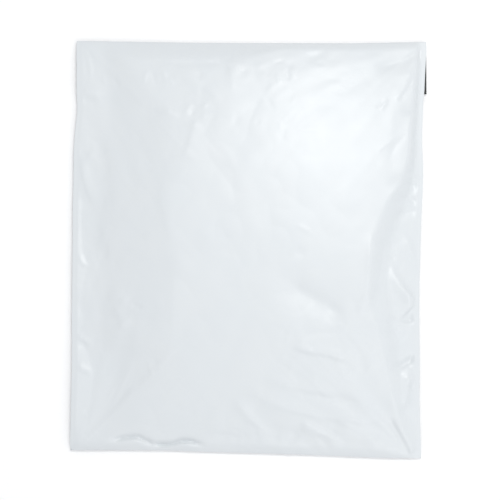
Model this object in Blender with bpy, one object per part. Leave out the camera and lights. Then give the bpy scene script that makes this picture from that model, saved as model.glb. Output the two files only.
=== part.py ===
"""A poly mailer bag, filled with soft goods and sealed, lying on its back.

One sheet of film is folded up at the bottom, welded along both sides, and its
longer back panel is folded over the mouth as the flap. The flap lies behind the
bag, under it here, and a strip of adhesive holds it to the rear panel.

Metres, +Z up. X runs across the bag, +Y is the flap's end and +Z faces out of the
address side. The origin is on the surface that the bag lies on, below its middle.
"""

import math

import bmesh
import bpy

# Driving dimensions of the bag.
BAG_WIDTH = 0.350
BAG_LENGTH = 0.412
FLAP_LENGTH = 0.052
FILLED_HEIGHT = 0.027

# The film is 0.06 mm thick. It is drawn thicker so that the flap is a sound solid.
FILM = 0.0003
GAP = 0.0003

# Side welds: a flat band down each side where the two panels are fused.
WELD_WIDTH = 0.005
SEAM_HEIGHT = 0.0045

# How far the edges are drawn in at their middles when the bag is filled.
SIDE_PULL = 0.0028
END_PULL = 0.0016

# The rear panel lies flat except for a margin along its edges.
REAR_MARGIN = 0.032

# The flap's free edge lies a little to the right of the fold.
FLAP_SKEW = 0.0010
FLAP_STEP = 0.010

# The adhesive strip on the inside of the flap, near its free edge.
ADHESIVE_WIDTH = 0.025
ADHESIVE_THICKNESS = 0.0002
ADHESIVE_EDGE = 0.008
ADHESIVE_END = 0.006

# How full the filled shape is: higher gives steeper edges and a flatter top.
SIDE_FULLNESS = 2.9
END_FULLNESS = 3.0

FLAP_SPACE = FILM + GAP + ADHESIVE_THICKNESS + GAP
FOLD_RADIUS = (FLAP_SPACE + 2 * FILM) / 2
FOLD_Y = BAG_LENGTH / 2

# The rear panel is level inside these lines, and the flap's free edge lies at FLAP_Y.
WELD_X = BAG_WIDTH / 2 - WELD_WIDTH
LEVEL_X = WELD_X - REAR_MARGIN
LEVEL_Y = BAG_LENGTH / 2 - REAR_MARGIN
FLAP_Y = FOLD_Y - FLAP_LENGTH
FOLD_START_Y = FOLD_Y - FOLD_RADIUS

MARGIN_CELLS = 5
LEVEL_COLUMNS = 14
LEVEL_ROWS = 16
STEP_ROWS = 2
FLAP_ROWS = 2
FOLD_SIDES = 12
FOLD_COLUMNS = 24


def smooth_step(t):
    """0 below 0, 1 above 1, and a smooth rise between."""
    t = min(max(t, 0.0), 1.0)
    return t * t * (3 - 2 * t)


def quarter_round(t):
    """A rise from 0 to 1 that starts steep and ends level."""
    t = min(max(t, 0.0), 1.0)
    return math.sqrt(1 - (1 - t) ** 2)


def drawn_in(x, y):
    """A point of the flat bag, moved as the filled bag's edges are drawn in."""
    u = 2 * x / BAG_WIDTH
    v = 2 * y / BAG_LENGTH
    return (
        x - u * SIDE_PULL * (1 - v * v),
        y - v * END_PULL * (1 - u * u),
    )


def fullness(x, y):
    """0 on the welds and folds, and 1 in the middle of the bag."""
    u = min(abs(x) / WELD_X, 1)
    v = min(abs(y) / (BAG_LENGTH / 2), 1)
    return (1 - u**SIDE_FULLNESS) * (1 - v**END_FULLNESS)


def rest_height(x, y):
    """The height of the underside: level in the middle, turned up along the edges."""
    from_side = WELD_X - abs(x)
    from_end = BAG_LENGTH / 2 - abs(y)
    level = quarter_round(from_side / REAR_MARGIN) * quarter_round(from_end / REAR_MARGIN)
    return SEAM_HEIGHT * (1 - level)


def lift_over_flap(y):
    """How far the rear panel is lifted where the flap lies under it."""
    return FLAP_SPACE * smooth_step(1 + (y - FLAP_Y) / FLAP_STEP)


def rear_height(x, y):
    return rest_height(x, y) + lift_over_flap(y)


def front_height(x, y):
    seam = SEAM_HEIGHT + lift_over_flap(y) + 2 * FILM
    return seam + (FILLED_HEIGHT - seam) * fullness(x, y)


def stations(lines, counts):
    """Places from the first line to the last, evenly spaced between each two lines."""
    places = [lines[0]]
    for low, high, count in zip(lines, lines[1:], counts):
        places += [low + (high - low) * i / count for i in range(1, count + 1)]
    return places


def new_object(name, bm, material):
    bmesh.ops.recalc_face_normals(bm, faces=bm.faces)
    mesh = bpy.data.meshes.new(name)
    bm.to_mesh(mesh)
    bm.free()
    mesh.materials.append(material)
    obj = bpy.data.objects.new(name, mesh)
    collection.objects.link(obj)
    return obj


def two_skins(name, xs, ys, place, low, high, material):
    """A closed sheet: a flat grid extruded into a lower and an upper skin."""
    bm = bmesh.new()
    columns = len(xs) - 1
    rows = len(ys) - 1
    bmesh.ops.create_grid(bm, x_segments=columns, y_segments=rows, size=1)
    made = bmesh.ops.extrude_face_region(bm, geom=bm.faces[:])
    upper = {v for v in made["geom"] if isinstance(v, bmesh.types.BMVert)}
    for vert in bm.verts:
        x = xs[round((vert.co.x + 1) / 2 * columns)]
        y = ys[round((vert.co.y + 1) / 2 * rows)]
        height = high if vert in upper else low
        vert.co = (*place(x, y), height(x, y))
    return new_object(name, bm, material)


def make_envelope(film):
    """The filled envelope with its welds, before the flap is joined to it."""
    xs = stations(
        (-BAG_WIDTH / 2, -WELD_X, -LEVEL_X, LEVEL_X, WELD_X, BAG_WIDTH / 2),
        (1, MARGIN_CELLS, LEVEL_COLUMNS, MARGIN_CELLS, 1),
    )
    ys = stations(
        (-BAG_LENGTH / 2, -LEVEL_Y, FLAP_Y - FLAP_STEP, FLAP_Y, LEVEL_Y, FOLD_START_Y),
        (MARGIN_CELLS, LEVEL_ROWS, STEP_ROWS, FLAP_ROWS, MARGIN_CELLS),
    )
    return two_skins("mailer_bag", xs, ys, drawn_in, rear_height, front_height, film)


def on_flap(x, y):
    """A point of the flap: it follows the fold, and its ends lean to one side."""
    down = (FOLD_Y - y) / FLAP_LENGTH
    outer = max(0, (abs(x) - LEVEL_X) / (BAG_WIDTH / 2 - LEVEL_X))
    return x + FLAP_SKEW * down * outer, drawn_in(x, FOLD_Y)[1] - (FOLD_Y - y)


def make_flap(film):
    """The flap, which follows the underside just below the rear panel."""
    xs = stations(
        (-BAG_WIDTH / 2, -LEVEL_X, LEVEL_X, BAG_WIDTH / 2),
        (MARGIN_CELLS, LEVEL_COLUMNS, MARGIN_CELLS),
    )
    ys = stations((FLAP_Y, LEVEL_Y, FOLD_START_Y), (FLAP_ROWS, MARGIN_CELLS))
    return two_skins(
        "flap", xs, ys, on_flap, rest_height, lambda x, y: rest_height(x, y) + FILM, film
    )


def make_fold(film):
    """The round fold at the top, where the front panel turns over to become the flap."""
    bm = bmesh.new()
    bmesh.ops.create_cone(
        bm,
        cap_ends=True,
        segments=FOLD_SIDES,
        radius1=FOLD_RADIUS,
        radius2=FOLD_RADIUS,
        depth=BAG_WIDTH,
    )
    lengthwise = [e for e in bm.edges if abs(e.verts[0].co.z - e.verts[1].co.z) > FOLD_RADIUS]
    bmesh.ops.subdivide_edges(bm, edges=lengthwise, cuts=FOLD_COLUMNS - 1)
    for vert in bm.verts:
        x = vert.co.z
        fold_y = drawn_in(x, FOLD_Y)[1] - FOLD_RADIUS
        vert.co = (x, fold_y + vert.co.x, SEAM_HEIGHT + FOLD_RADIUS + vert.co.y)
    return new_object("fold", bm, film)


def join(target, piece):
    """Joins a piece to the target with a Boolean union, and keeps only the target."""
    bpy.context.view_layer.objects.active = target
    union = target.modifiers.new("join_" + piece.name, "BOOLEAN")
    union.operation = "UNION"
    union.object = piece
    bpy.ops.object.modifier_apply(modifier=union.name)
    bpy.data.objects.remove(piece)


def make_adhesive(glue):
    """The strip of hot-melt adhesive between the flap and the rear panel."""
    low = FLAP_Y + ADHESIVE_EDGE
    end = BAG_WIDTH / 2 - ADHESIVE_END
    xs = stations(
        (-end, -LEVEL_X, LEVEL_X, end),
        (MARGIN_CELLS, LEVEL_COLUMNS, MARGIN_CELLS),
    )
    ys = stations((low, LEVEL_Y, low + ADHESIVE_WIDTH), (1, 2))
    floor = FILM + GAP
    return two_skins(
        "adhesive_strip",
        xs,
        ys,
        on_flap,
        lambda x, y: rest_height(x, y) + floor,
        lambda x, y: rest_height(x, y) + floor + ADHESIVE_THICKNESS,
        glue,
    )


def new_material(name, colour, roughness):
    material = bpy.data.materials.new(name)
    material.use_nodes = True
    shader = material.node_tree.nodes["Principled BSDF"]
    shader.inputs["Base Color"].default_value = (*colour, 1)
    shader.inputs["Roughness"].default_value = roughness
    shader.inputs["Metallic"].default_value = 0
    return material


for old in list(bpy.data.objects):
    bpy.data.objects.remove(old)
collection = bpy.data.collections.new("poly_mailer_bag")
bpy.context.scene.collection.children.link(collection)

white_film = new_material("white_film", (0.80, 0.83, 0.85), 0.35)
clear_glue = new_material("clear_glue", (0.75, 0.72, 0.62), 0.30)

bag = make_envelope(white_film)
join(bag, make_fold(white_film))
join(bag, make_flap(white_film))
make_adhesive(clear_glue)
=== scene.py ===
import math

import bpy
import numpy as np
from mathutils import Matrix, Vector


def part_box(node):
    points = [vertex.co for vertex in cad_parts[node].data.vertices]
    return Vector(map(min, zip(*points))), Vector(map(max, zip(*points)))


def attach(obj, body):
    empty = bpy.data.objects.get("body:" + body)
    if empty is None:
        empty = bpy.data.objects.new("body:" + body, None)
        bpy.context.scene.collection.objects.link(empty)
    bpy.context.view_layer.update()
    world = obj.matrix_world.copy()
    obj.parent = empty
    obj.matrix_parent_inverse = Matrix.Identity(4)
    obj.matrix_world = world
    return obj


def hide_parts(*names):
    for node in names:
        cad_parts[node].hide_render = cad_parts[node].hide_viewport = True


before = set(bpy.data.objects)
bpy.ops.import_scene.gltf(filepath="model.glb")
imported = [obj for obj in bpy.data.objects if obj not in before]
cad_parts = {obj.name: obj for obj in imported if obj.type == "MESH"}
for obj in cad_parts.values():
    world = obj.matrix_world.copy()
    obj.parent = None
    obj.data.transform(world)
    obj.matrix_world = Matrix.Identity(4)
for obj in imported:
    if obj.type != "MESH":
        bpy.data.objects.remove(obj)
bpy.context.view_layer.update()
bpy.ops.object.select_all(action="DESELECT")


# Camera.
# It looks straight down on the lying bag from a little to the right, with a long
# lens, as one photographs flat goods from a stand above the table. Metres.
VIEW_DISTANCE = 1.183
VIEW_LEAN = math.radians(3.32)
VIEW_TILT = math.radians(-0.70)
VIEW_TURN = math.radians(-0.79)
LOOK_AT = Vector((0.0026, -0.0027, 0))

away = Vector((
    math.sin(VIEW_LEAN),
    math.sin(VIEW_TILT) * math.cos(VIEW_LEAN),
    math.cos(VIEW_TILT) * math.cos(VIEW_LEAN),
))
right = Vector((math.sin(VIEW_TURN), math.cos(VIEW_TURN), 0)).cross(away).normalized()
stand = LOOK_AT + away * VIEW_DISTANCE
bpy.ops.object.camera_add(location=stand)
camera = bpy.context.object
camera.rotation_euler = Matrix((right, away.cross(right), away)).transposed().to_euler()
camera.data.lens = 85
camera.data.sensor_width = 36
bpy.context.scene.camera = camera


# Studio light.
# A key softbox above the bag's top right, which draws the highlight on the film, a low
# one at the right, a large one overhead at the near side, and white walls all round.
# The picture is shown as lit, with no film curve.
def linear(hex_colour):
    """An sRGB colour such as "E4EAEE" as the linear colour that a shader takes."""
    parts = [int(hex_colour[i:i + 2], 16) / 255 for i in (0, 2, 4)]
    return [p / 12.92 if p <= 0.04045 else ((p + 0.055) / 1.055) ** 2.4 for p in parts] + [1]


bpy.context.scene.view_settings.view_transform = "Standard"
walls = bpy.data.worlds.new("white_studio")
walls.use_nodes = True
walls.node_tree.nodes["Background"].inputs["Color"].default_value = linear("FAFBFE")
walls.node_tree.nodes["Background"].inputs["Strength"].default_value = 0.76
bpy.context.scene.world = walls


def softbox(place, size, energy, colour):
    """A square softbox that is aimed at the middle of the floor."""
    bpy.ops.object.light_add(type="AREA", location=place)
    lamp = bpy.context.object
    lamp.rotation_euler = Vector(place).to_track_quat("Z", "Y").to_euler()
    lamp.data.shape = "SQUARE"
    lamp.data.size = size
    lamp.data.energy = energy
    lamp.data.color = linear(colour)[:3]


softbox(place=(0.165, 0.33, 1.06), size=0.30, energy=4.0, colour="FFFEFB")
softbox(place=(1.40, 0.20, 0.40), size=0.70, energy=0.7, colour="FFFFFF")
softbox(place=(0.50, -0.70, 1.10), size=0.90, energy=3.3, colour="FFFFFF")


# Floor.
# A sweep of smooth white paper on a table. It lies a hair below the bag, so that the
# two surfaces don't coincide.
def node(tree, kind, settings=None, links=None):
    """Adds a node to a tree, with its settings, values and incoming links."""
    made = tree.nodes.new(kind)
    for key, value in (settings or {}).items():
        if isinstance(key, str) and hasattr(made, key):
            setattr(made, key, value)
        else:
            made.inputs[key].default_value = value
    for key, source in (links or {}).items():
        tree.links.new(source, made.inputs[key])
    return made


FLOOR_SIZE = 6.0
FLOOR_GAP = 0.0002
bpy.ops.mesh.primitive_plane_add(size=FLOOR_SIZE, location=(0, 0, -FLOOR_GAP))
floor = bpy.context.object
floor.name = "paper_floor"
paper = bpy.data.materials.new("white paper")
paper.use_nodes = True
tree = paper.node_tree
place = node(tree, "ShaderNodeTexCoord").outputs["Object"]
# Fine paper fibres, which give the floor a slight tooth.
fibre = node(tree, "ShaderNodeTexNoise", {"Scale": 900, "Detail": 3}, {"Vector": place})
tooth = node(tree, "ShaderNodeBump", {"Strength": 0.1, "Distance": 0.0001},
             {"Height": fibre.outputs["Fac"]})
shader = tree.nodes["Principled BSDF"]
shader.inputs["Base Color"].default_value = linear("FAFAFA")
shader.inputs["Roughness"].default_value = 0.9
shader.inputs["Specular IOR Level"].default_value = 0.2
tree.links.new(tooth.outputs["Normal"], shader.inputs["Normal"])
floor.data.materials.append(paper)


# The mailer's film.
# One sheet of white polyethylene, black on the inside, 0.06 mm thick: folded up at
# the bottom, welded down both sides, and its lip folded over the mouth and glued
# behind. It is filled with soft goods, which press it out, and lies on its back.

# Sizes in millimetres. The CAD solid's box gives the bag's length and filled height.
low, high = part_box("mailer_bag")
WIDTH = 350.0
LENGTH = 1000 * (high[1] - low[1])
FILLED = 1000 * (high[2] - low[2])
END = LENGTH / 2

# The weld's width and where its inner line is, and how high the seam lies.
WELD = 5.0
LINE = WIDTH / 2 - WELD
SEAM = 4.5

# The flap: its length, how far its free end leans to the right, how thick it is drawn,
# the fold's radius, and how far the flap lifts the rear panel.
FLAP = 52.0
FLAP_SKEW = 1.0
FLAP_FILM = 0.3
FOLD_RADIUS = 0.85
FLAP_LIFT = 1.1

# The margin over which the underside turns up to the seam.
REAR_MARGIN = 32.0

# The filled envelope is first blown up from two flat panels joined along their edges,
# which draws the edges in and gathers them into their puckers.
CELLS_ACROSS = 92
CELLS_ALONG = 110
FRAMES = 24
INFLATED_VOLUME = 0.0036


def mesh_points(obj):
    """The object's vertices as rows of x, y and z."""
    points = np.empty(len(obj.data.vertices) * 3)
    obj.data.vertices.foreach_get("co", points)
    return points.reshape(-1, 3)


def blurred(values, cells, axes=(0, 1)):
    """Smooths a grid over a number of cells. Past its border it carries on, turned over."""
    reach = int(3 * cells)
    weights = np.exp(-0.5 * (np.arange(-reach, reach + 1) / cells) ** 2)
    weights /= weights.sum()
    for axis in axes:
        values = np.moveaxis(values, axis, -1)
        before = -values[..., reach:0:-1]
        after = -values[..., -2:-reach - 2:-1]
        wide = np.concatenate([before, values, after], -1)
        values = sum(
            w * wide[..., i:i + values.shape[-1]] for i, w in enumerate(weights)
        )
        values = np.moveaxis(values, -1, axis)
    return values


def blown_up_envelope():
    """The front panel's height in mm at each cell corner of the blown-up envelope."""
    # The panels start a little apart, with a random ripple that breaks their symmetry.
    rng = np.random.default_rng(7)
    size = (2 * LINE / 1000, LENGTH / 1000)
    ripple = blurred(rng.normal(size=(CELLS_ALONG + 1, CELLS_ACROSS + 1)), 3)
    ripple /= np.abs(ripple).max()
    panels = []
    for side in (1, -1):
        bpy.ops.mesh.primitive_grid_add(
            x_subdivisions=CELLS_ACROSS, y_subdivisions=CELLS_ALONG, size=1
        )
        panel = bpy.context.object
        points = mesh_points(panel)
        inner = (np.abs(points[:, 0]) < 0.4999) & (np.abs(points[:, 1]) < 0.4999)
        row = np.rint((points[:, 1] + 0.5) * CELLS_ALONG).astype(int)
        column = np.rint((points[:, 0] + 0.5) * CELLS_ACROSS).astype(int)
        points[:, 0] *= size[0]
        points[:, 1] *= size[1]
        points[:, 2] = inner * side * (0.0008 + 0.0004 * ripple[row, column])
        panel.data.vertices.foreach_set("co", points.ravel())
        if side < 0:
            bpy.ops.object.mode_set(mode="EDIT")
            bpy.ops.mesh.flip_normals()
            bpy.ops.object.mode_set(mode="OBJECT")
        panels.append(panel)
    for panel in panels:
        panel.select_set(True)
    bpy.context.view_layer.objects.active = panels[0]
    bpy.ops.object.join()
    bpy.ops.object.mode_set(mode="EDIT")
    bpy.ops.mesh.select_all(action="SELECT")
    bpy.ops.mesh.remove_doubles(threshold=0.0002)
    bpy.ops.object.mode_set(mode="OBJECT")
    envelope = bpy.context.object
    points = mesh_points(envelope)
    column = np.rint((points[:, 0] / size[0] + 0.5) * CELLS_ACROSS).astype(int)
    row = np.rint((points[:, 1] / size[1] + 0.5) * CELLS_ALONG).astype(int)
    front = points[:, 2] >= 0

    # Thin stiff film that hardly stretches, blown up to a set volume without gravity.
    cloth = envelope.modifiers.new("blow_up", "CLOTH")
    cloth.settings.quality = 6
    cloth.settings.mass = 0.1
    cloth.settings.tension_stiffness = 40
    cloth.settings.compression_stiffness = 40
    cloth.settings.shear_stiffness = 20
    cloth.settings.bending_stiffness = 0.5
    cloth.settings.tension_damping = 5
    cloth.settings.compression_damping = 5
    cloth.settings.shear_damping = 5
    cloth.settings.bending_damping = 0.5
    cloth.settings.air_damping = 2
    cloth.settings.use_pressure = True
    cloth.settings.uniform_pressure_force = 0
    cloth.settings.use_pressure_volume = True
    cloth.settings.target_volume = INFLATED_VOLUME
    cloth.settings.pressure_factor = 2
    cloth.settings.effector_weights.gravity = 0
    cloth.collision_settings.use_collision = False
    cloth.point_cache.frame_start = 1
    cloth.point_cache.frame_end = FRAMES
    for number in range(1, FRAMES + 1):
        bpy.context.scene.frame_set(number)
    bpy.ops.object.modifier_apply(modifier=cloth.name)
    heights = np.zeros((CELLS_ALONG + 1, CELLS_ACROSS + 1))
    heights[row[front], column[front]] = 1000 * mesh_points(envelope)[front, 2]
    bpy.context.scene.frame_set(1)
    bpy.data.objects.remove(envelope)
    return heights


def read_between(grid, row, column):
    """Reads a grid of values at places between its points, on a smooth curve."""
    result = 0
    r0 = np.floor(row).astype(int)
    c0 = np.floor(column).astype(int)

    def weights(t):
        return (
            (-t + 2 * t**2 - t**3) / 2,
            (2 - 5 * t**2 + 3 * t**3) / 2,
            (t + 4 * t**2 - 3 * t**3) / 2,
            (t**3 - t**2) / 2,
        )

    for i, wr in enumerate(weights(row - r0)):
        for j, wc in enumerate(weights(column - c0)):
            r = np.clip(r0 + i - 1, 0, grid.shape[0] - 1)
            c = np.clip(c0 + j - 1, 0, grid.shape[1] - 1)
            result = result + wr * wc * grid[r, c]
    return result


# The finished mesh is finer: the panel's cells are about 1.45 mm.
COLUMNS = 240
WELD_COLUMNS = 4
FRONT_ROWS = 286
FOLD_ROWS = 4
FLAP_ROWS = 36
ROWS = FRONT_ROWS + FOLD_ROWS + FLAP_ROWS

weld_steps = np.linspace(0, WELD, WELD_COLUMNS + 1)
across = np.concatenate([
    -WIDTH / 2 + weld_steps[:-1],
    np.linspace(-LINE, LINE, COLUMNS - 2 * WELD_COLUMNS + 1),
    WIDTH / 2 - weld_steps[-2::-1],
])
along = np.linspace(-END, END - FOLD_RADIUS, FRONT_ROWS + 1)
X, Y = np.meshgrid(across, along)

# How far each edge of the filled bag is drawn in, by its place along the edge.
LEFT_PULL = (
    (-206, -196, -172, -148, -124, -100, -67, -35, -3, 38, 70, 95, 119, 135, 160, 180, 206),
    (0, 0.6, 1.1, 1.4, 1.7, 1.0, 0.3, 0.3, 0.1, -0.4, -0.3, -0.6, 0.9, 2.6, 1.5, 1.3, 0),
)
RIGHT_PULL = (
    (-206, -194, -170, -146, -114, -90, -66, -34, -10, 14, 38, 62, 86, 110, 134, 148, 154, 168,
     182, 190, 198, 206),
    (0, 0.4, 1.4, 2.3, 2.3, 2.9, 3.4, 3.7, 3.3, 2.9, 2.4, 1.5, 1.6, 3.2, 2.4, 2.2, 1.3, 1.0,
     0.4, -0.1, -0.3, 0),
)
TOP_PULL = ((-175, -120, -60, 20, 100, 150, 175), (0.2, 0.9, 1.7, 1.9, 1.8, 0.8, 0.2))
BOTTOM_PULL = (
    (-175, -140, -101, -72, -42, -2, 48, 88, 127, 147, 175),
    (0, 1.0, 1.8, 2.1, 1.5, 1.3, 1.1, 0.4, -0.4, -0.6, 0),
)


def along_edge(table, places):
    """The table's value at each place along an edge, rounded off over a few mm."""
    spread = np.linspace(-6, 6, 7)
    return sum(np.interp(places + s, *table) for s in spread) / len(spread)


def drawn_in(x, y):
    """A point of the flat bag, moved as the filled bag's edges are drawn in."""
    left = along_edge(LEFT_PULL, y)
    right_side = along_edge(RIGHT_PULL, y)
    share = (x + WIDTH / 2) / WIDTH
    moved_x = x + left * (1 - share) - right_side * share
    top = along_edge(TOP_PULL, x)
    bottom = along_edge(BOTTOM_PULL, x)
    share = (y + END) / LENGTH
    moved_y = y + bottom * (1 - share) - top * share
    return moved_x, moved_y


def soft_lowest(planes, roundness):
    """The lowest of several sloping planes, rounded where they meet."""
    return -roundness * np.log(sum(np.exp(-p / roundness) for p in planes))


def rise(distance, reach, steepness):
    """From 0 at an edge to 1 at reach, steep at the edge and level at the end."""
    return 1 - (1 - np.clip(distance / reach, 0, 1)) ** steepness


def ease(t):
    """From 0 at 0 to 1 at 1, level at both ends."""
    t = np.clip(t, 0, 1)
    return t * t * (3 - 2 * t)


# How far the goods stop short of each cut edge; outside them the two panels lie flat.
LEFT_MARGIN = (
    (-206, -184, -160, -134, -108, -98, -84, -75, -62, -48, -22, 2, 40, 90, 140, 170, 206),
    (8, 15, 20, 22, 17, 11, 8, 13, 8, 10, 15, 9, 9, 9, 15, 12, 8),
)
RIGHT_MARGIN = (
    (-206, -180, -140, -115, -90, -70, -50, -20, 10, 30, 60, 100, 140, 180, 206),
    (8, 12, 16, 18, 20, 24, 28, 28, 25, 19, 11, 6, 5, 5, 6),
)

# How steep the goods' sides are, by the place along the bag.
LEFT_SLOPE = (
    (-206, -120, -60, 0, 50, 80, 120, 160, 206),
    (0.19, 0.185, 0.2, 0.21, 0.215, 0.2, 0.19, 0.23, 0.28),
)
RIGHT_SLOPE = ((-206, -140, 10, 50, 90, 206), (0.7, 0.7, 0.75, 0.8, 1.7, 1.7))

# The goods' crown: its top, its middle, and how flat it is towards each side. Then the
# heights that the sides start from, and the long slope down to the bottom fold.
CROWN_TOP = FILLED - 0.9
CROWN_X = 20
CROWN_Y = 10
FLATNESS_LEFT = 5000
FLATNESS_RIGHT = 3000
FLATNESS_TOP = 4500
FLATNESS_BOTTOM = 3000
SIDES_FROM = 5.0
BOTTOM_FROM = 9.5
BOTTOM_SLOPE = 0.14
BOTTOM_Y = -190
ROUNDED = 0.6


def goods_height(x, y):
    """The height that the goods press the front panel to: a crown with sloping sides."""
    left = -WIDTH / 2 + along_edge(LEFT_MARGIN, y)
    right_side = WIDTH / 2 - along_edge(RIGHT_MARGIN, y)
    return soft_lowest(
        (
            CROWN_TOP
            - (x - CROWN_X) ** 2 / np.where(x < CROWN_X, FLATNESS_LEFT, FLATNESS_RIGHT)
            - (y - CROWN_Y) ** 2 / np.where(y > CROWN_Y, FLATNESS_TOP, FLATNESS_BOTTOM),
            SIDES_FROM + along_edge(LEFT_SLOPE, y) * (x - left),
            BOTTOM_FROM + BOTTOM_SLOPE * (y - BOTTOM_Y),
            SIDES_FROM + along_edge(RIGHT_SLOPE, y) * (right_side - x),
        ),
        ROUNDED,
    )


# How rounded a fold is along its line.
CREST_RADIUS = 0.6


class Crease:
    """A line on the panel, drawn smoothly through its points in mm."""

    def __init__(self, *points):
        p = np.array(points, float)
        p = np.vstack([2 * p[0] - p[1], p, 2 * p[-1] - p[-2]])
        t = np.linspace(0, 1, 7)[:-1, None]
        line = [
            0.5 * (2 * b + (c - a) * t + (2 * a - 5 * b + 4 * c - d) * t**2
                   + (3 * b - a - 3 * c + d) * t**3)
            for a, b, c, d in zip(p, p[1:], p[2:], p[3:])
        ]
        self.line = np.vstack(line + [p[-2:-1]])

    def measure(self, x, y):
        """Each point's distance to the line, signed by its side, and its place along it."""
        best = np.full(x.shape, np.inf)
        side = np.zeros(x.shape)
        place = np.zeros(x.shape)
        steps = np.diff(self.line, axis=0)
        lengths = np.hypot(*steps.T)
        run = np.concatenate([[0], np.cumsum(lengths)])
        for (x0, y0), (dx, dy), length, start in zip(self.line, steps, lengths, run):
            t = np.clip(((x - x0) * dx + (y - y0) * dy) / length**2, 0, 1)
            ox = x - x0 - t * dx
            oy = y - y0 - t * dy
            d = np.hypot(ox, oy)
            nearer = d < best
            best = np.where(nearer, d, best)
            side = np.where(nearer, np.sign(dx * oy - dy * ox), side)
            place = np.where(nearer, (start + t * length) / run[-1], place)
        return best * side, place

    def press(self, height, left, right, start, stop):
        """Adds a crest (or, with a negative height, a valley) to the panel's folds.
        left and right are its widths on either side, seen along the line."""
        reach = 3.2 * max(left, right)
        lo = self.line.min(0) - reach
        hi = self.line.max(0) + reach
        near = (X > lo[0]) & (X < hi[0]) & (Y > lo[1]) & (Y < hi[1])
        d, t = self.measure(X[near], Y[near])
        width = np.where(d > 0, left, right)
        blunt = np.sqrt(d**2 + CREST_RADIUS**2) - CREST_RADIUS
        shape = np.exp(-(blunt / width) ** 1.5)
        ends = ease(t / max(start, 1e-3)) * ease((1 - t) / max(stop, 1e-3))
        folds[near] += height * shape * ends


# Only the fine gathers of the blown-up envelope are kept. Its own swelling is taken
# out, and near the edges only what changes along the edge stays.
NEAR_EDGE = 60
SWELLING = 9
simulated = blown_up_envelope()
grid_x = np.linspace(-LINE, LINE, CELLS_ACROSS + 1)[None, :]
grid_y = np.linspace(-END, END, CELLS_ALONG + 1)[:, None]
wrinkles = simulated - blurred(simulated, SWELLING)
by_side = np.exp(-((LINE - np.abs(grid_x)) / NEAR_EDGE) ** 2)
wrinkles -= by_side * blurred(wrinkles, SWELLING, (0,))
by_end = np.exp(-((END - np.abs(grid_y)) / NEAR_EDGE) ** 2)
wrinkles -= by_end * blurred(wrinkles, SWELLING, (1,))
sim_row = np.clip((Y + END) / LENGTH, 0, 1) * CELLS_ALONG
sim_column = np.clip((X + LINE) / (2 * LINE), 0, 1) * CELLS_ACROSS
puckers = read_between(wrinkles, sim_row, sim_column)

# The seam rises a little where the flap lies under it.
LIFT_STEP = 10
lift = FLAP_LIFT * ease((Y - (END - FLAP - LIFT_STEP)) / LIFT_STEP)
seam = SEAM + 2 * FLAP_FILM + lift

# Outside the goods the two panels lie together. They slope up from the right weld, and
# the left margin curls up towards its weld below the middle.
SKIRT_RISE = 0.3
SKIRT_SLOPE = 0.12
CURL_SLOPE = 0.17
SKIRT_WIDTH = 30
skirt = seam + SKIRT_RISE + SKIRT_SLOPE * np.clip(LINE - X, 0, SKIRT_WIDTH)
curl = np.clip(along_edge(LEFT_MARGIN, Y) - WIDTH / 2 - X, 0, SKIRT_WIDTH)
skirt += CURL_SLOPE * curl * ease((60 - Y) / 30) * ease((Y + 200) / 20)

# The front panel: the higher of the goods and the skirt. It falls off a little towards
# the top, and turns down to the two folds, most tightly at the right of the top.
FALL_FROM = 148
FALL_FLATNESS = 2600
TOP_TURN = 22
TOP_RIGHT_TURN = 9
BOTTOM_TURN = 11
goods = -soft_lowest((-goods_height(X, Y), -skirt), ROUNDED)
goods -= np.maximum(Y - FALL_FROM, 0) ** 2 / FALL_FLATNESS
goods = np.maximum(goods, seam + SKIRT_RISE)
top_turn = TOP_TURN + (TOP_RIGHT_TURN - TOP_TURN) * ease((X + 20) / 60)
turn = np.where(Y > 0, top_turn, BOTTOM_TURN)
heights = seam + (goods - seam) * rise(END - np.abs(Y), turn, 1.8)

# Where the film is drawn taut: over the goods' top right corner, on their top left side
# and at the lower left margin. The gathers are slighter there.
GATHERS = 0.48
calm = np.exp(-((X - 105) ** 2 + (Y - 110) ** 2) / 90**2)
calm += np.exp(-((X + 140) ** 2 + (Y - 160) ** 2) / 70**2)
calm += np.exp(-(((X + 165) / 30) ** 2 + ((Y + 120) / 70) ** 2))
calm = np.minimum(calm, 1)
heights += GATHERS * (1 - 0.8 * calm) * puckers

# Elsewhere it lies in shallow facets, with soft creases between them.
rng = np.random.default_rng(23)
for cells, size in ((9, 0.2), (5, 0.1)):
    slack = blurred(rng.normal(size=X.shape), cells)
    slack = np.abs(slack / slack.std() + 0.3)
    heights += size * (slack - 0.8) * (1 - 0.7 * calm) * rise(END - np.abs(Y), 20, 2)

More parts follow.
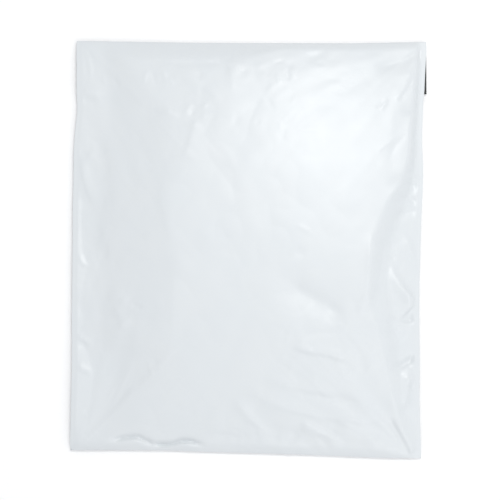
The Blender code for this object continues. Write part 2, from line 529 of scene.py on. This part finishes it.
# Folds and creases that the goods and the hands that packed them left in the film. Each
# has its height in mm (a valley's is negative), its widths on either side of the line,
# the parts of its length over which it rises and fades, and its points.
CREASES = (
    # The top left corner, where the film is gathered below the fold.
    (-0.3, 1.8, 2.2, 0.2, 0.3, (-170, 201), (-166, 184), (-162, 164)),
    (0.1, 1.6, 1.6, 0.3, 0.3, (-168, 200), (-162, 184), (-160, 160)),
    (-0.2, 1.8, 2.5, 0.2, 0.3, (-164, 200), (-159, 184), (-156, 162)),
    (0.5, 3, 4, 0.2, 0.4, (-170, 156), (-158, 152), (-148, 144)),
    (-0.35, 2.5, 2.5, 0.2, 0.4, (-170, 146), (-160, 144), (-154, 138)),
    (0.7, 9, 1.5, 0.2, 0.3, (-169, 94), (-165, 70), (-157, 47), (-153, 37)),
    (0.5, 5, 5, 0.3, 0.4, (-163, 94), (-153, 86), (-144, 78)),
    # The strip below the fold, and the step where it ends.
    (-0.6, 2.5, 4, 0.3, 0.1, (-114, 186), (-68, 183), (-35, 184), (-24, 179), (-21, 169)),
    (0.6, 14, 5, 0.2, 0.4, (-17, 189), (-17, 171), (-13, 149)),
    # Dents above the left shoulder.
    (0.3, 1.5, 1.8, 0.4, 0.4, (-150, 172), (-144, 160)),
    (-0.3, 1.5, 1.8, 0.4, 0.4, (-138, 170), (-130, 156)),
    (0.35, 1.5, 1.8, 0.4, 0.4, (-102, 178), (-106, 160)),
    (-0.35, 1.5, 1.5, 0.4, 0.4, (-98, 176), (-92, 158)),
    (0.35, 1.5, 2, 0.4, 0.4, (-88, 178), (-80, 160)),
    (0.3, 1.5, 1.5, 0.4, 0.4, (-82, 170), (-74, 159)),
    (-0.55, 4, 4, 0.4, 0.4, (-110, 140), (-97, 133), (-84, 131)),
    (0.55, 3, 3, 0.4, 0.4, (-88, 139), (-78, 133), (-67, 127)),
    (0.3, 2, 2.2, 0.3, 0.3, (-64, 129), (-60, 139), (-54, 142)),
    (-0.3, 1.8, 1.8, 0.4, 0.4, (-58, 128), (-54, 137)),
    (0.4, 2, 2, 0.4, 0.4, (-48, 137), (-40, 143)),
    # The left shoulder's crest.
    (0.5, 8, 2.5, 0.15, 0.3, (-51, 129), (-54, 113), (-59, 95), (-67, 85)),
    (0.4, 9, 4, 0.3, 0.3, (-79, 73), (-83, 49), (-78, 28), (-72, -4)),
    (0.25, 8, 3, 0.4, 0.3, (-71, -16), (-70, -53), (-72, -93)),
    # The left margin, where the two panels lie together.
    (1, 4, 2, 0.1, 0.4, (-170, -91), (-162, -96), (-155, -104)),
    (-0.3, 1.5, 1.5, 0.2, 0.2, (-170, -101), (-156, -99)),
    (0.9, 4, 2.5, 0.1, 0.4, (-170, -122), (-162, -125), (-152, -131)),
    (-0.3, 1.5, 1.5, 0.3, 0.3, (-163, -167), (-153, -163)),
    (0.9, 2.5, 2.5, 0.2, 0.3, (-170, -9), (-165, -17), (-158, -23)),
    (-0.3, 1.5, 1.5, 0.2, 0.3, (-170, -41), (-161, -39)),
    # A soft dent in the left slope, and fine lines along the hip below it.
    (0.9, 6, 6, 0.4, 0.3, (-141, -54), (-129, -52), (-115, -58)),
    (1, 8, 5, 0.3, 0.3, (-133, -58), (-124, -72), (-122, -88)),
    (-0.7, 2, 2, 0.3, 0.3, (-114, -60), (-107, -61), (-101, -62)),
    (0.25, 1.5, 1.5, 0.3, 0.3, (-136, -164), (-123, -139), (-112, -116)),
    (0.2, 1.5, 1.5, 0.4, 0.4, (-140, -158), (-131, -141)),
    (-0.2, 1.5, 1.5, 0.4, 0.4, (-131, -165), (-117, -141)),
    (0.2, 1.5, 1.5, 0.4, 0.4, (-119, -157), (-107, -133)),
    (0.3, 1.6, 1.6, 0.3, 0.3, (-98, -113), (-94, -125), (-90, -133)),
    (-0.2, 1.5, 1.5, 0.4, 0.4, (-92, -111), (-86, -123)),
    # The bottom, crinkled over the fold.
    (-3.4, 2.5, 1.3, 0.3, 0.2, (-138, -197), (-111, -193), (-99, -197), (-87, -202)),
    (-4, 2.5, 1.3, 0.15, 0.3, (-93, -200), (-75, -200), (-59, -196), (-37, -200)),
    (-0.4, 2.5, 2.5, 0.3, 0.3, (-31, -191), (-15, -188), (0, -194)),
    (-0.3, 2.5, 2.5, 0.3, 0.3, (6, -196), (22, -189), (38, -193)),
    (0.25, 1.5, 1.5, 0.4, 0.4, (-107, -182), (-93, -186)),
    (1.6, 2.5, 9, 0.2, 0.3, (55, -173), (79, -184), (100, -194)),
    (-0.3, 2, 2, 0.4, 0.2, (44, -191), (59, -179)),
    (1.6, 3, 10, 0.3, 0.2, (90, -170), (114, -180), (137, -193)),
    # Long soft folds drawn towards the bottom right corner.
    (1.5, 7, 5, 0.3, 0.2, (1, -136), (18, -148), (45, -159), (94, -168), (145, -169)),
    (1, 5, 5, 0.3, 0.3, (-12, -149), (6, -170), (26, -189)),
    (1, 6, 6, 0.3, 0.3, (17, -127), (55, -138), (104, -141)),
    (-0.9, 5, 5, 0.3, 0.3, (45, -140), (84, -149), (133, -152)),
    (-0.3, 1.5, 1.5, 0.3, 0.3, (72, -146), (90, -149)),
    (-1.1, 1.5, 2, 0.2, 0.1, (144, -165), (154, -184), (164, -203)),
    (1.2, 7, 3, 0.3, 0.1, (148, -165), (158, -184), (168, -202)),
    (0.3, 2, 3, 0.3, 0.3, (157, -149), (166, -157)),
    # The hollow between two folded edges of the goods, right of the middle.
    (-3.4, 10, 17, 0.35, 0.3, (30, -28), (38, -32), (61, -45), (85, -58), (105, -70)),
    (-0.35, 5, 5, 0.4, 0.4, (48, 0), (62, -9)),
    (0.2, 2, 2, 0.4, 0.4, (49, 23), (59, 19), (68, 12)),
    (-0.35, 1.2, 4, 0.2, 0.2, (52, -83), (103, -82), (169, -82)),
    (1.6, 9, 3, 0.2, 0.3, (46, -96), (60, -100), (84, -104), (103, -110), (111, -115)),
    (-0.15, 2, 2, 0.4, 0.4, (-5, -58), (10, -52), (22, -50)),
    # The right shoulder's crest, which hooks inwards at its lower end.
    (1, 5, 4, 0.3, 0.1, (124, 20), (125, -13), (124, -37), (120, -50), (112, -65)),
    (-1, 5, 4.5, 0.2, 0.15, (139, 20), (136, -13), (132, -42), (123, -72)),
    (-0.3, 3, 3, 0.3, 0.3, (145, 9), (149, -13)),
    # Darts along the right weld.
    (4.6, 3, 11, 0.8, 0.03, (141, -7), (149, -23), (159, -39), (173, -53)),
    (1, 6, 5, 0.3, 0.2, (142, -38), (142, -56), (144, -73)),
    (-2.4, 5, 2.5, 0.8, 0.03, (140, -68), (156, -69), (173, -70)),
    (-1.2, 3, 4, 0.7, 0.05, (141, 22), (154, 35), (172, 39)),
    (1.2, 2.5, 5, 0.7, 0.1, (152, 21), (163, 6), (171, -9)),
    (0.4, 1.5, 1.5, 0.3, 0.3, (166, 27), (170, 17)),
    (-3, 3, 4, 0.03, 0.8, (173, -106), (158, -114), (141, -125)),
    (3, 4, 12, 0.3, 0.4, (162, -112), (163, -136), (155, -165)),
    (-2.2, 2, 2.5, 0.5, 0.05, (160, -132), (168, -138), (174, -145)),
    (0.9, 1.5, 1.8, 0.6, 0.05, (158, -126), (172, -129)),
    (-1.4, 5, 5, 0.6, 0.05, (138, 58), (152, 68), (171, 62)),
    (1, 2, 2, 0.5, 0.05, (158, 75), (171, 68)),
    (-1.2, 2, 3, 0.6, 0.05, (154, 56), (171, 46)),
    (-1.6, 3, 3, 0.6, 0.05, (151, 134), (162, 137), (172, 139)),
    # The top right corner.
    (-1.2, 3, 6, 0.3, 0.1, (122, 181), (141, 183), (160, 191), (174, 200)),
    (-0.6, 1.6, 1.6, 0.2, 0.2, (166, 179), (160, 162), (149, 144)),
    (0.4, 1.6, 1.6, 0.2, 0.2, (162, 179), (156, 162), (146, 146)),
    (0.4, 1.5, 1.5, 0.3, 0.3, (139, 148), (131, 136)),
    (-0.3, 1.5, 1.5, 0.3, 0.3, (135, 148), (128, 138)),
    (0.35, 2, 2, 0.3, 0.3, (149, 111), (140, 104), (128, 96)),
    (-0.35, 2.5, 2.5, 0.3, 0.3, (161, 115), (147, 101), (140, 87)),
    # Faint marks in the lit part of the crown.
    (-0.12, 3, 5, 0.3, 0.3, (63, 159), (78, 167), (102, 167), (113, 173)),
    (0.08, 2, 2, 0.3, 0.3, (78, 155), (88, 151), (96, 148)),
    (-0.3, 1.3, 1.3, 0.3, 0.3, (23, 183), (35, 186)),
    (-0.3, 1.3, 1.3, 0.3, 0.3, (37, 179), (40, 165)),
    (0.25, 1.3, 1.3, 0.3, 0.3, (42, 181), (46, 167)),
    (0.25, 1.3, 1.3, 0.3, 0.3, (27, 175), (31, 161)),
    (0.12, 2.5, 2.5, 0.3, 0.3, (24, 131), (32, 122), (34, 112)),
    (-0.1, 2, 2, 0.3, 0.3, (38, 118), (36, 104)),
    (0.1, 1.5, 1.5, 0.3, 0.3, (47, 151), (43, 141)),
)
folds = np.zeros_like(heights)
for height, left, right_side, start, stop, *points in CREASES:
    Crease(*points).press(height, left, right_side, start, stop)


def crumple(count, box, length, height, width):
    """Scatters short folds in a box, with random lengths, heights and widths in mm."""
    for _ in range(count):
        cx = rng.uniform(box[0], box[1])
        cy = rng.uniform(box[2], box[3])
        angle = rng.uniform(0, math.pi)
        half = rng.uniform(*length) / 2
        bend = rng.normal(0, 0.15) * half
        dx, dy = math.cos(angle), math.sin(angle)
        fold = Crease(
            (cx - half * dx, cy - half * dy),
            (cx - bend * dy, cy + bend * dx),
            (cx + half * dx, cy + half * dy),
        )
        size = rng.uniform(*height) * rng.choice((-1, 1))
        fold.press(size, rng.uniform(*width), rng.uniform(*width), 0.5, 0.5)


# Fine crumples: shallow ones all over, and more of them where the film is slack.
crumple(110, (-165, 165, -200, 200), (15, 45), (0.04, 0.14), (2, 5))
crumple(40, (-110, 30, 120, 185), (8, 24), (0.08, 0.25), (1.5, 4))
crumple(50, (40, 165, -125, -70), (8, 26), (0.1, 0.3), (1.5, 4))

# The folds fade out at the welds and at the two folded ends.
heights += folds * rise(LINE - np.abs(X), 5, 1.5) * rise(END - np.abs(Y), 4, 1.5)

# The weld: a band pressed thinner than the film beside it, which droops a little
# outwards, with a fine bead along its cut edge.
WELD_PRESSED = 0.1
WELD_DROOP = (0.08, 0.12)
WELD_BEAD = 0.08
weld_lines = (WELD_COLUMNS, COLUMNS - WELD_COLUMNS)
for line, edge, inwards, droop in zip(weld_lines, (0, COLUMNS), (1, -1), WELD_DROOP):
    for i in range(WELD_COLUMNS):
        outside = WELD - weld_steps[i]
        bead = WELD_BEAD if i == 1 else 0
        band = heights[:, line] - WELD_PRESSED - droop * outside + bead
        heights[:, edge + inwards * i] = band

front_x, front_y = drawn_in(X, Y)

# The underside's slight waves, where the rear panel doesn't quite touch the table.
WAVE_HEIGHT = 0.6
rear_waves = np.maximum(blurred(rng.normal(size=(70, 60)), 2), 0)
rear_waves *= WAVE_HEIGHT / rear_waves.max()


def rest_height(x, y):
    """The underside: slight waves on the level it lies on, and turned up at the edges."""
    side = np.sqrt(1 - (1 - np.clip((LINE - np.abs(x)) / REAR_MARGIN, 0, 1)) ** 2)
    end = np.sqrt(1 - (1 - np.clip((END - np.abs(y)) / REAR_MARGIN, 0, 1)) ** 2)
    wave_rows, wave_columns = rear_waves.shape
    wave_row = (y / LENGTH + 0.5) * (wave_rows - 1)
    wave_column = (x / WIDTH + 0.5) * (wave_columns - 1)
    waves = read_between(rear_waves, wave_row, wave_column)
    return SEAM * (1 - side * end) + np.maximum(waves, 0) * side * end


# The sheet's outer side in rows: up the front panel, over the fold and down the flap.
outer = np.zeros((ROWS + 1, COLUMNS + 1, 3))
outer[:FRONT_ROWS + 1] = np.stack([front_x, front_y, heights], -1)
fold_y = front_y[-1]
fold_z = SEAM + FOLD_RADIUS
outer[FRONT_ROWS, :, 2] = fold_z + FOLD_RADIUS
for i in range(1, FOLD_ROWS + 1):
    turn = math.pi / 2 - math.pi * i / FOLD_ROWS
    outer[FRONT_ROWS + i, :, 0] = front_x[-1]
    outer[FRONT_ROWS + i, :, 1] = fold_y + FOLD_RADIUS * math.cos(turn)
    outer[FRONT_ROWS + i, :, 2] = fold_z + FOLD_RADIUS * math.sin(turn)
down = np.linspace(0, 1, FLAP_ROWS + 1)[1:, None]
flap_y = fold_y - down * (fold_y - (END - FLAP))
outer[FRONT_ROWS + FOLD_ROWS + 1:, :, 0] = across + FLAP_SKEW * down
outer[FRONT_ROWS + FOLD_ROWS + 1:, :, 1] = flap_y
outer[FRONT_ROWS + FOLD_ROWS + 1:, :, 2] = rest_height(across, flap_y)

# Its other side in half as many rows and columns: up the rear panel to the mouth, and
# down the flap's inner face.
REAR_ROWS = FRONT_ROWS // 2
INNER_ROWS = REAR_ROWS + FLAP_ROWS // 2
inner = np.zeros((INNER_ROWS + 1, COLUMNS // 2 + 1, 3))
LEAST_DEPTH = 0.2
rear_y = Y[::2, ::2]
rear_x = X[::2, ::2]
moved_x, moved_y = drawn_in(rear_x, rear_y)
rear_heights = rest_height(rear_x, rear_y) + lift[::2, ::2]
rear_heights = np.minimum(rear_heights, heights[::2, ::2] - LEAST_DEPTH)
inner[:REAR_ROWS + 1] = np.stack([moved_x, moved_y, rear_heights], -1)
inner[REAR_ROWS, :, 1] = fold_y[::2] - FOLD_RADIUS
inner[REAR_ROWS, :, 2] = fold_z
inner[REAR_ROWS + 1:] = outer[FRONT_ROWS + FOLD_ROWS + 2::2, ::2]
inner[REAR_ROWS + 1:, :, 2] += FLAP_FILM

# The two sides share their vertices along the bottom fold, the welds, the flap's ends
# and its free edge. The mouth's two ends are closed against the fold.
vertices = [tuple(p) for p in outer.reshape(-1, 3) / 1000]
outer_index = np.arange(outer.shape[0] * outer.shape[1]).reshape(outer.shape[:2])
inner_index = np.full(inner.shape[:2], -1)
inner_index[0] = outer_index[0, ::2]
inner_index[INNER_ROWS] = outer_index[ROWS, ::2]
for c, column in ((0, 0), (COLUMNS // 2, COLUMNS)):
    inner_index[:REAR_ROWS, c] = outer_index[:FRONT_ROWS:2, column]
    inner_index[REAR_ROWS + 1:, c] = outer_index[FRONT_ROWS + FOLD_ROWS + 2::2, column]
for row, column in zip(*np.nonzero(inner_index < 0)):
    inner_index[row, column] = len(vertices)
    vertices.append(tuple(inner[row, column] / 1000))

# Four-sided faces outside; inside, the faces along the edges also take the outer
# side's extra vertices, so that the sheet is closed.
faces = []
for r in range(ROWS):
    for c in range(COLUMNS):
        faces.append((
            outer_index[r, c], outer_index[r, c + 1],
            outer_index[r + 1, c + 1], outer_index[r + 1, c],
        ))
black_from = None
for r in range(INNER_ROWS):
    if r == REAR_ROWS:
        black_from = len(faces)
    first = 2 * r if r < REAR_ROWS else 2 * r + FOLD_ROWS
    for c in range(COLUMNS // 2):
        loop = [inner_index[r, c]]
        if c == 0:
            loop.append(outer_index[first + 1, 0])
            if r == REAR_ROWS - 1:
                loop.append(outer_index[first + 2, 0])
            if r == REAR_ROWS:
                loop.insert(1, outer_index[first, 0])
        loop.append(inner_index[r + 1, c])
        if r == INNER_ROWS - 1:
            loop.append(outer_index[ROWS, 2 * c + 1])
        loop.append(inner_index[r + 1, c + 1])
        if c == COLUMNS // 2 - 1:
            if r == REAR_ROWS - 1:
                loop.append(outer_index[first + 2, COLUMNS])
            loop.append(outer_index[first + 1, COLUMNS])
            if r == REAR_ROWS:
                loop.append(outer_index[first, COLUMNS])
        loop.append(inner_index[r, c + 1])
        if r == 0:
            loop.append(outer_index[0, 2 * c + 1])
        faces.append(tuple(loop))
for c, column in ((0, 0), (COLUMNS // 2, COLUMNS)):
    arc = [outer_index[FRONT_ROWS + i, column] for i in range(FOLD_ROWS + 1)]
    cap = arc + [inner_index[REAR_ROWS, c]]
    faces.append(tuple(cap if column == 0 else cap[::-1]))

sheet = bpy.data.meshes.new("mailer_film")
sheet.from_pydata(vertices, [], [tuple(int(i) for i in f) for f in faces])
mailer = bpy.data.objects.new("mailer_film", sheet)
bpy.context.scene.collection.objects.link(mailer)

# White polyethylene: satin, a little bluish. It gives the eye a broad soft highlight,
# the faint lines that the die left across the bag, a fine crinkle from handling, and a
# duller band where it was welded.
film = bpy.data.materials.new("white polyethylene film")
film.use_nodes = True
tree = film.node_tree
place = node(tree, "ShaderNodeTexCoord").outputs["Object"]
clouds = node(tree, "ShaderNodeTexNoise", {"Scale": 28, "Detail": 2}, {"Vector": place})
tint = node(tree, "ShaderNodeMix",
            {"data_type": "RGBA", 6: linear("D5DADD"), 7: linear("D8DCDE")},
            {0: clouds.outputs["Fac"]})
stretched = node(tree, "ShaderNodeMapping", {"Scale": (4, 420, 420)}, {"Vector": place})
die_lines = node(tree, "ShaderNodeTexNoise", {"Scale": 1, "Detail": 3},
                 {"Vector": stretched.outputs["Vector"]})
crinkle = node(tree, "ShaderNodeTexNoise", {"Scale": 190, "Detail": 3, "Distortion": 0.6},
               {"Vector": place})
handled = node(tree, "ShaderNodeTexNoise", {"Scale": 60, "Detail": 4}, {"Vector": place})
sides = node(tree, "ShaderNodeSeparateXYZ", {}, {"Vector": place})
from_middle = node(tree, "ShaderNodeMath", {"operation": "ABSOLUTE"}, {0: sides.outputs["X"]})
in_weld = node(tree, "ShaderNodeMapRange", {"From Min": 0.1685, "From Max": 0.1695},
               {"Value": from_middle.outputs[0]})
satin = node(tree, "ShaderNodeMapRange",
             {"From Min": 0.3, "From Max": 0.7, "To Min": 0.355, "To Max": 0.385},
             {"Value": handled.outputs["Fac"]})
gloss = node(tree, "ShaderNodeMix", {"data_type": "FLOAT", 3: 0.42},
             {0: in_weld.outputs["Result"], 2: satin.outputs["Result"]})
lines_bump = node(tree, "ShaderNodeBump", {"Strength": 0.4, "Distance": 0.00001},
                  {"Height": die_lines.outputs["Fac"]})
film_bump = node(tree, "ShaderNodeBump", {"Strength": 0.4, "Distance": 0.00002},
                 {"Height": crinkle.outputs["Fac"], "Normal": lines_bump.outputs["Normal"]})
shader = tree.nodes["Principled BSDF"]
shader.inputs["IOR"].default_value = 1.51
tree.links.new(tint.outputs[2], shader.inputs["Base Color"])
tree.links.new(gloss.outputs[0], shader.inputs["Roughness"])
tree.links.new(film_bump.outputs["Normal"], shader.inputs["Normal"])

# The black inner layer: carbon-filled polyethylene, a dull sheen with a fine crinkle.
inside = bpy.data.materials.new("black polyethylene inner layer")
inside.use_nodes = True
tree = inside.node_tree
place = node(tree, "ShaderNodeTexCoord").outputs["Object"]
crinkle = node(tree, "ShaderNodeTexNoise", {"Scale": 190, "Detail": 3}, {"Vector": place})
dull = node(tree, "ShaderNodeMapRange", {"To Min": 0.36, "To Max": 0.5},
            {"Value": crinkle.outputs["Fac"]})
film_bump = node(tree, "ShaderNodeBump", {"Strength": 0.5, "Distance": 0.00005},
                 {"Height": crinkle.outputs["Fac"]})
shader = tree.nodes["Principled BSDF"]
shader.inputs["Base Color"].default_value = linear("141414")
tree.links.new(dull.outputs["Result"], shader.inputs["Roughness"])
tree.links.new(film_bump.outputs["Normal"], shader.inputs["Normal"])
sheet.materials.append(film)
sheet.materials.append(inside)
black = np.zeros(len(faces), int)
black[black_from:] = 1
sheet.polygons.foreach_set("material_index", black)
mailer.select_set(True)
bpy.context.view_layer.objects.active = mailer
bpy.ops.object.shade_smooth_by_angle(angle=math.radians(50))
bpy.ops.object.select_all(action="DESELECT")

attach(mailer, "root")
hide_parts("mailer_bag")


# The adhesive.
# A strip of clear hot-melt adhesive along the inside of the flap, whose paper liner
# was peeled off. It holds the flap to the rear panel.
STRIP_WIDTH = 25.0
STRIP_EDGE = 8.0
STRIP_END = 6.0
STRIP_THICKNESS = 0.2
STRIP_WAVER = 0.5
bpy.ops.mesh.primitive_grid_add(x_subdivisions=120, y_subdivisions=8, size=1)
strip = bpy.context.object
strip.name = "flap_adhesive"
bpy.ops.object.mode_set(mode="EDIT")
bpy.ops.mesh.extrude_region_move(TRANSFORM_OT_translate={"value": (0, 0, 0.5)})
bpy.ops.object.mode_set(mode="OBJECT")
points = mesh_points(strip)
x = points[:, 0] * (WIDTH - 2 * STRIP_END)
y = END - FLAP + STRIP_EDGE + (points[:, 1] + 0.5) * STRIP_WIDTH
# The two long edges waver, as hot glue does where it is laid down.
on_edge = np.abs(points[:, 1]) > 0.49
y += np.sign(points[:, 1]) * STRIP_WAVER * np.sin(x / 7.0) * on_edge
z = rest_height(x, y) + 2 * FLAP_FILM + STRIP_THICKNESS * (points[:, 2] > 0.25)
points = np.stack([x + FLAP_SKEW / 2, y, z], -1) / 1000
strip.data.vertices.foreach_set("co", points.ravel())
strip.data.update()
bpy.ops.object.mode_set(mode="EDIT")
bpy.ops.mesh.select_all(action="SELECT")
bpy.ops.mesh.normals_make_consistent(inside=False)
bpy.ops.object.mode_set(mode="OBJECT")
bpy.ops.object.shade_smooth_by_angle(angle=math.radians(40))

# Hot-melt adhesive: pale, slightly yellow and glossy, in streaks along the strip.
glue = bpy.data.materials.new("clear hot-melt adhesive")
glue.use_nodes = True
tree = glue.node_tree
place = node(tree, "ShaderNodeTexCoord").outputs["Object"]
stretched = node(tree, "ShaderNodeMapping", {"Scale": (30, 600, 600)}, {"Vector": place})
streaks = node(tree, "ShaderNodeTexNoise", {"Scale": 1, "Detail": 3},
               {"Vector": stretched.outputs["Vector"]})
tint = node(tree, "ShaderNodeMix",
            {"data_type": "RGBA", 6: linear("DCD6B8"), 7: linear("EAE7D6")},
            {0: streaks.outputs["Fac"]})
tacky = node(tree, "ShaderNodeMapRange", {"To Min": 0.22, "To Max": 0.4},
             {"Value": streaks.outputs["Fac"]})
ridges = node(tree, "ShaderNodeBump", {"Strength": 0.6, "Distance": 0.00005},
              {"Height": streaks.outputs["Fac"]})
shader = tree.nodes["Principled BSDF"]
tree.links.new(tint.outputs[2], shader.inputs["Base Color"])
tree.links.new(tacky.outputs["Result"], shader.inputs["Roughness"])
tree.links.new(ridges.outputs["Normal"], shader.inputs["Normal"])
strip.data.materials.append(glue)
bpy.ops.object.select_all(action="DESELECT")

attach(strip, "root")
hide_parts("adhesive_strip")
